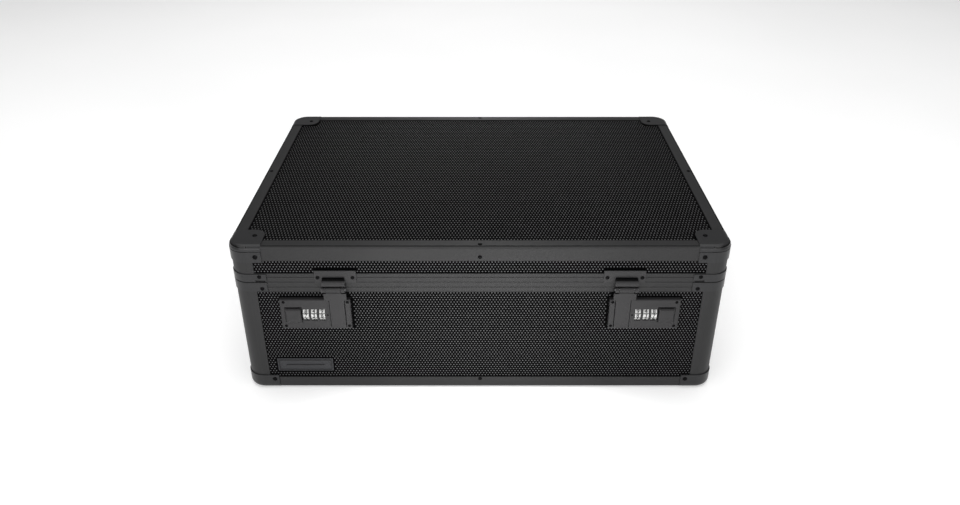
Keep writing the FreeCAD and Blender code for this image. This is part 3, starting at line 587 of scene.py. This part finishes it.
gl = powder("cap_painted_dark_lines", (0.0010, 0.0010, 0.0012), 0.14, spec=0.35)
o4 = ([], [])
for sx in (-1, 1):
    for sy in (-1, 1):
        cx_, cy_ = sx * 220.0, sy * 155.5
        # lower bead in the crease: painted shade; upper bead on the rolled edge: painted dark reflection
        for dz, tilt, half, lo_a, hi_a in ((158.9, 0.0, 0.8, -22, 112), (163.0, 0.0, 1.15, -18, 108)):
            P_, N_ = [], []
            for k in range(27):
                an = math.radians(lo_a + (hi_a - lo_a) * k / 26)
                d_ = Vector((sx * math.cos(an), sy * math.sin(an), 0))
                o_ = Vector((cx_, cy_, dz)) + d_ * 60
                hit = bvh.ray_cast(o_ * MM, -d_, 0.08)
                if hit[0] is not None and (hit[0] / MM - Vector((cx_, cy_, dz))).length > 10:
                    P_.append(hit[0] / MM); N_.append(hit[1] if hit[1].dot(d_) > 0 else -hit[1])
            if len(P_) > 4:
                bead(o4, P_, N_, half, 0.2, 0.6)
ob = add_mesh("lid_cap_painted_lines", o4[0], o4[1], gl, "lid", True)
bm = bmesh.new(); bm.from_mesh(ob.data)
bmesh.ops.recalc_face_normals(bm, faces=bm.faces)
bm.to_mesh(ob.data); bm.free()

# the top frame's upper step: a black strip as painted shade
o5 = ([], [])
for sgn in (-1, 1):
    P_ = [(-213 + 426 * i / 8, sgn * 167.7, 163.86) for i in range(9)]
    bead(o5, P_, [(0, sgn * 0.45, 1)] * 9, 0.55, 0.10, 0.5)
    P_ = [(sgn * 232.2, -148.5 + 297 * i / 8, 163.86) for i in range(9)]
    bead(o5, P_, [(sgn * 0.45, 0, 1)] * 9, 0.55, 0.10, 0.5)
ob = add_mesh("lid_trim_step_painted_shade", o5[0], o5[1], M["slot"], "lid", False)
bm = bmesh.new(); bm.from_mesh(ob.data)
bmesh.ops.recalc_face_normals(bm, faces=bm.faces)
bm.to_mesh(ob.data); bm.free()

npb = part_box("nameplate")
x0n, z0n, x1n, z1n = npb[0][0] / MM, npb[0][2] / MM, npb[1][0] / MM, npb[1][2] / MM
yn = npb[0][1] / MM
rel = ([], [])
for lo_, hi_ in (((x0n + 1.5, z0n + 1.5), (x1n - 1.5, z0n + 2.1)), ((x0n + 1.5, z1n - 2.1), (x1n - 1.5, z1n - 1.5)),
                 ((x0n + 1.5, z0n + 2.1), (x0n + 2.1, z1n - 2.1)), ((x1n - 2.1, z0n + 2.1), (x1n - 1.5, z1n - 2.1)),
                 ((x0n + 9.0, (z0n + z1n) / 2 - 0.45), (x1n - 9.0, (z0n + z1n) / 2 + 0.45))):
    slab(rel, (lo_[0], yn - 0.32, lo_[1]), (hi_[0], yn + 0.1, hi_[1]), 0.12)
add_mesh("nameplate_relief", rel[0], rel[1], M["lock"], "case_base", False)


# --------------------------------------------------------------- soft lining
def cushion(name, lo, hi, rad, mat, body, crown_axis_sign, node, dimple=(4, 3), puff=1.6, step=6.0):
    # foam pad covered in lining: rounded plan, crowned face, shallow tuft rows
    # and pulled-in edges, facing crown_axis_sign along Z
    x0, y0, z0 = lo; x1, y1, z1 = hi
    nx = int((x1 - x0) / step); ny = int((y1 - y0) / step)
    top, bot, verts, faces = {}, {}, [], []
    rnd = Vector((3.1, 7.7, 1.3))
    for j in range(ny + 1):
        for i in range(nx + 1):
            u, v_ = i / nx, j / ny
            x = x0 + (x1 - x0) * u; y = y0 + (y1 - y0) * v_
            e = min(x - x0, x1 - x, y - y0, y1 - y)
            round_ = 1 - math.exp(-e / 5.0)
            tuft = 0.0
            for a_ in range(1, dimple[0]):
                tuft += math.exp(-((u - a_ / dimple[0]) * (x1 - x0) / 3.2) ** 2)
            for b_ in range(1, dimple[1]):
                tuft += math.exp(-((v_ - b_ / dimple[1]) * (y1 - y0) / 3.2) ** 2)
            wob = noise.noise(Vector((x, y, 0)) * 0.02 + rnd) * 0.5 + noise.noise(Vector((x, y, 0)) * 0.07 + rnd) * 0.2
            d = puff * (round_ - 1) * 1.6 - min(tuft, 1.0) * 1.3 + wob * 0.7 * round_ - 0.3
            if crown_axis_sign > 0:
                top[i, j] = z1 + min(d, 0.0)
                bot[i, j] = z0
            else:
                top[i, j] = z1
                bot[i, j] = z0 - min(d, 0.0)
    idx = {}
    for layer, h_ in ((0, bot), (1, top)):
        for j in range(ny + 1):
            for i in range(nx + 1):
                idx[layer, i, j] = len(verts)
                x = x0 + (x1 - x0) * i / nx; y = y0 + (y1 - y0) * j / ny
                # plan corners rounded
                cx_ = min(max(x, x0 + rad), x1 - rad); cy_ = min(max(y, y0 + rad), y1 - rad)
                dx_, dy_ = x - cx_, y - cy_
                L = math.hypot(dx_, dy_)
                if dx_ and dy_ and L > rad:
                    x, y = cx_ + dx_ / L * rad, cy_ + dy_ / L * rad
                verts.append((x * MM, y * MM, h_[i, j] * MM))
    for j in range(ny):
        for i in range(nx):
            faces.append((idx[1, i, j], idx[1, i + 1, j], idx[1, i + 1, j + 1], idx[1, i, j + 1]))
            faces.append((idx[0, i, j], idx[0, i, j + 1], idx[0, i + 1, j + 1], idx[0, i + 1, j]))
    for i in range(nx):
        faces.append((idx[0, i, 0], idx[0, i + 1, 0], idx[1, i + 1, 0], idx[1, i, 0]))
        faces.append((idx[0, i, ny], idx[1, i, ny], idx[1, i + 1, ny], idx[0, i + 1, ny]))
    for j in range(ny):
        faces.append((idx[0, 0, j], idx[1, 0, j], idx[1, 0, j + 1], idx[0, 0, j + 1]))
        faces.append((idx[0, nx, j], idx[0, nx, j + 1], idx[1, nx, j + 1], idx[1, nx, j]))
    o = add_mesh(name, verts, faces, mat, body, True)
    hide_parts(node)
    return o


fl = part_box("base_floor_pad"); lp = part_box("lid_lining_pad")
mmv = lambda v: tuple(c / MM for c in v)
cushion("floor_pad_cover", mmv(fl[0]), mmv(fl[1]), 3.0, M["lining"], "case_base", 1, "base_floor_pad", dimple=(1, 1))
cushion("lid_pad_cover", mmv(lp[0]), mmv(lp[1]), 3.0, M["lining"], "lid", -1, "lid_lining_pad", dimple=(4, 3))


def wall_pads(name, z0, z1, body, node, holes_front=(), grom=None):
    # four padded wall sections meeting in sewn corner seams; thickness runs
    # from the panel to the inner face
    OX, OY, IX, IY = 227.8, 163.3, 222.5, 157.5
    verts, faces = [], []
    walls = [((-IX, -OY), (IX, -OY), (0, 1), OY - IY, "front"), ((IX, OY), (-IX, OY), (0, -1), OY - IY, "back"),
             ((-OX, OY - 0.2), (-OX, -OY + 0.2), (1, 0), OX - IX, "left"), ((OX, -OY + 0.2), (OX, OY - 0.2), (-1, 0), OX - IX, "right")]
    for (ax, ay), (bx, by), (nx_, ny_), th, side in walls:
        L = math.hypot(bx - ax, by - ay)
        nu = max(8, int(L / 5.0)); nv = max(3, int((z1 - z0) / 5.0))
        off = len(verts)
        skip = set()
        for layer in (0, 1):
            for j in range(nv + 1):
                for i in range(nu + 1):
                    u = i / nu; w = j / nv
                    x = ax + (bx - ax) * u; y = ay + (by - ay) * u; z = z0 + (z1 - z0) * w
                    e = min(L * u, L * (1 - u), (z1 - z) * 1.6 + 0.5)
                    d = th if layer == 0 else 0.05
                    if layer == 0:
                        d -= 1.5 * math.exp(-e / 4.0)
                        d -= 0.35 * (0.5 + 0.5 * noise.noise(Vector((x, y, z)) * 0.045))
                    verts.append(((x + nx_ * d) * MM, (y + ny_ * d) * MM, z * MM))
        per = (nu + 1) * (nv + 1)

        def hole(i, j):
            x = ax + (bx - ax) * (i + 0.5) / nu; z = z0 + (z1 - z0) * (j + 0.5) / nv
            if side == "front":
                return any(a_ - 3 < x < b_ + 3 and c_ - 3 < z < d_ + 3 for a_, b_, c_, d_ in holes_front)
            if side == "back" and grom:
                return math.hypot(x - grom[0], z - grom[1]) < 8.5
            if side == "right" and node == "base_wall_lining":
                y = ay + (by - ay) * (i + 0.5) / nu
                return math.hypot(y - 131.0, z - 120.2) < 5.0
            return False
        H = {(i, j): hole(i, j) for i in range(-1, nu + 1) for j in range(-1, nv + 1)}
        for j in range(nv):
            for i in range(nu):
                if H[i, j]:
                    continue
                a_ = off + j * (nu + 1) + i
                faces.append((a_, a_ + nu + 1, a_ + nu + 2, a_ + 1))
                b_ = a_ + per
                faces.append((b_, b_ + 1, b_ + nu + 2, b_ + nu + 1))
                for (di, dj, p, q) in ((0, -1, a_, a_ + 1), (0, 1, a_ + nu + 2, a_ + nu + 1), (-1, 0, a_ + nu + 1, a_), (1, 0, a_ + 1, a_ + nu + 2)):
                    ii, jj = i + di, j + dj
                    if ii < 0 or jj < 0 or ii >= nu or jj >= nv or H[ii, jj]:
                        faces.append((p, q, q + per, p + per))
    o = add_mesh(name, verts, faces, M["lining"], body, True)
    bm = bmesh.new(); bm.from_mesh(o.data)
    bmesh.ops.delete(bm, geom=[v for v in bm.verts if not v.link_faces], context="VERTS")
    bmesh.ops.recalc_face_normals(bm, faces=bm.faces)
    bm.to_mesh(o.data); bm.free()
    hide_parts(node)
    return o


wall_pads("base_wall_cover", 7.4, 123.9, "case_base", "base_wall_lining",
          [(-173.1, -144.9, 81.5, 100.7), (144.9, 173.1, 81.5, 100.7)], (-190.0, 75.0))
wall_pads("lid_wall_cover", 128.3, 157.7, "lid", "lid_wall_lining")


# ------------------------------------------------------------------- pocket
def pocket():
    x0, x1, y0, y1 = -205.0, 205.0, -136.0, 148.0
    zc = 142.6
    nx, ny = 300, 70
    verts, faces = [], []
    for j in range(ny + 1):
        for i in range(nx + 1):
            u, v_ = i / nx, j / ny
            x = x0 + (x1 - x0) * u; y = y0 + (y1 - y0) * v_
            fold = -abs(math.sin(u * 58 + 2.2 * noise.noise(Vector((u * 6, v_ * 1.2, 0))))) * 2.6
            fold += math.sin(u * 137 + 3.0 * noise.noise(Vector((u * 9, v_ * 2.0, 4)))) * 0.45
            hem_in = min(1.0, v_ * 26)
            amp = (math.exp(-v_ * 2.2) * 0.95 + 0.14) * hem_in
            edge = min(1.0, min(u, 1 - u) * 24, (1 - v_) * 16)
            sag = -0.5 * math.sin(math.pi * min(1, max(0, v_))) * edge
            verts.append((x * MM, y * MM, (zc + (fold * amp * edge) + sag) * MM))
    for j in range(ny):
        for i in range(nx):
            a_ = j * (nx + 1) + i
            faces.append((a_, a_ + nx + 1, a_ + nx + 2, a_ + 1))
    m_, nt_, b_ = new_mat("pocket_net")
    v = coords(nt_)
    bricks = []
    for d, s_ in (("X", 1), ("Y", 1)):
        w = nd(nt_, "ShaderNodeTexWave", wave_type="BANDS", bands_direction=d, wave_profile="SIN")
        w.inputs["Scale"].default_value = 115.0
        nt_.links.new(v, w.inputs["Vector"])
        g = nd(nt_, "ShaderNodeMath", operation="GREATER_THAN")
        g.inputs[1].default_value = 0.52
        nt_.links.new(w.outputs["Fac"], g.inputs[0])
        bricks.append((w.outputs["Fac"], g.outputs[0]))
    mxn = nd(nt_, "ShaderNodeMath", operation="MAXIMUM")
    nt_.links.new(bricks[0][1], mxn.inputs[0]); nt_.links.new(bricks[1][1], mxn.inputs[1])
    nt_.links.new(mxn.outputs[0], b_.inputs["Alpha"])
    mot = noise_tex(nt_, v, 60, 3)
    nt_.links.new(ramp(nt_, mot, [(0.2, (0.016, 0.016, 0.017)), (0.8, (0.040, 0.040, 0.042))]), b_.inputs["Base Color"])
    b_.inputs["Roughness"].default_value = 0.8
    b_.inputs["Sheen Weight"].default_value = 0.4
    o = add_mesh("lid_pocket_net", verts, faces, m_, "lid", True)
    so = o.modifiers.new("thick", "SOLIDIFY"); so.thickness = 0.0004; so.offset = 0
    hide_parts("pocket_mesh")
    # gathered hem and flat binding
    hv, hf = [], []

    def tube(points, ru, rv, sides=12):
        base = len(hv)
        for (x, y, z, nx_, ny_, ks, kr) in points:
            for k in range(sides):
                an = 2 * math.pi * k / sides
                a1, b1 = math.cos(an), math.sin(an)
                # flattened oval with soft corners
                a1 = math.copysign(abs(a1) ** 0.6, a1) * ru * ks; b1 = math.copysign(abs(b1) ** 0.6, b1) * rv * kr
                hv.append(((x + nx_ * a1) * MM, (y + ny_ * a1) * MM, (z + b1) * MM))
        n_ = len(points)
        for i in range(n_ - 1):
            for k in range(sides):
                a_, b2 = base + i * sides + k, base + i * sides + (k + 1) % sides
                hf.append((a_, b2, b2 + sides, a_ + sides))
        hf.append(tuple(range(base, base + sides))[::-1])
        hf.append(tuple(range(base + (n_ - 1) * sides, base + n_ * sides)))
    pts_ = []
    for i in range(301):
        u = i / 300
        g = 1 + 0.10 * math.sin(u * 420) + 0.05 * math.sin(u * 777)
        pts_.append((-204.8 + 409.6 * u, -140.1, 141.95, 0, 1, 0.95, min(1.0, g * 0.92)))
    tube(pts_, 3.8, 1.65)
    for sx in (-1, 1):
        tube([(sx * 209.1, -143.6 + 291.2 * i / 60, 142.45, 1, 0, 0.97 + 0.03 * math.sin(i * 1.1), 1) for i in range(61)], 3.8, 1.15)
    tube([(-212.6 + 425.2 * i / 90, 151.1, 142.45, 0, 1, 0.96 + 0.03 * math.sin(i * 0.9), 1) for i in range(91)], 2.8, 1.15)
    h_ = add_mesh("lid_pocket_binding", hv, hf, M["tape"], "lid", True)
    bm = bmesh.new(); bm.from_mesh(h_.data)
    bmesh.ops.recalc_face_normals(bm, faces=bm.faces)
    bm.to_mesh(h_.data); bm.free()
    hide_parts("pocket_binding")


pocket()

# ------------------------------------------------------------ floor, lights
fm, nt, b = new_mat("studio_floor")
v = coords(nt)
n = noise_tex(nt, v, 3, 2)
nt.links.new(ramp(nt, n, [(0.3, (0.90, 0.90, 0.90)), (0.7, (0.93, 0.93, 0.93))]), b.inputs["Base Color"])
b.inputs["Roughness"].default_value = 0.9
b.inputs["Specular IOR Level"].default_value = 0.1
b.inputs["Emission Color"].default_value = (1, 1, 1, 1)
b.inputs["Emission Strength"].default_value = 0.22
me = bpy.data.meshes.new("studio_floor")
me.from_pydata([(-40, -40, -0.0002), (40, -40, -0.0002), (40, 40, -0.0002), (-40, 40, -0.0002)], [], [(0, 1, 2, 3)])
floor = bpy.data.objects.new("studio_floor", me)
me.materials.append(fm)
scene.collection.objects.link(floor)

world = bpy.data.worlds.new("studio")
scene.world = world
world.use_nodes = True
bg = world.node_tree.nodes["Background"]
bg.inputs["Color"].default_value = (1, 1, 1, 1)
bg.inputs["Strength"].default_value = 0.20


def area(name, loc, target, size, power, size_y=None):
    l = bpy.data.lights.new(name, "AREA")
    l.shape = "RECTANGLE"
    l.size = size
    l.size_y = size_y or size
    l.energy = power
    o = bpy.data.objects.new(name, l)
    scene.collection.objects.link(o)
    o.location = loc
    d = Vector(target) - Vector(loc)
    o.rotation_euler = d.to_track_quat("-Z", "Y").to_euler()
    return o


area("key", (-0.9, -1.9, 0.75), (0, 0, 0.08), 1.4, 14, 1.0)
area("front_fill", (0.9, -2.0, 0.6), (0, 0, 0.08), 1.4, 9, 0.8)
area("top", (0.0, 0.1, 2.4), (0, 0, 0.0), 3.0, 46, 2.6)
area("back_strip", (0.0, 1.9, 1.25), (0, 0, 0.12), 0.26, 3.5, 1.2)
area("front_strip", (0.0, -1.3, 0.85), (0, -0.17, 0.08), 0.20, 6, 0.6)

# a pool of light on the floor in front, which the sheet's points throw back
sl = bpy.data.lights.new("front_pool", "SPOT")
sl.energy = 480
sl.spot_size = math.radians(15)
sl.spot_blend = 1.0
sl.shadow_soft_size = 0.05
so_ = bpy.data.objects.new("front_pool", sl)
scene.collection.objects.link(so_)
so_.location = (0.0, -0.75, 1.9)
so_.rotation_euler = (Vector((0, -0.40, 0)) - Vector((0.0, -0.75, 1.9))).to_track_quat("-Z", "Y").to_euler()

scene.view_settings.view_transform = "Standard"
scene.view_settings.look = "None"
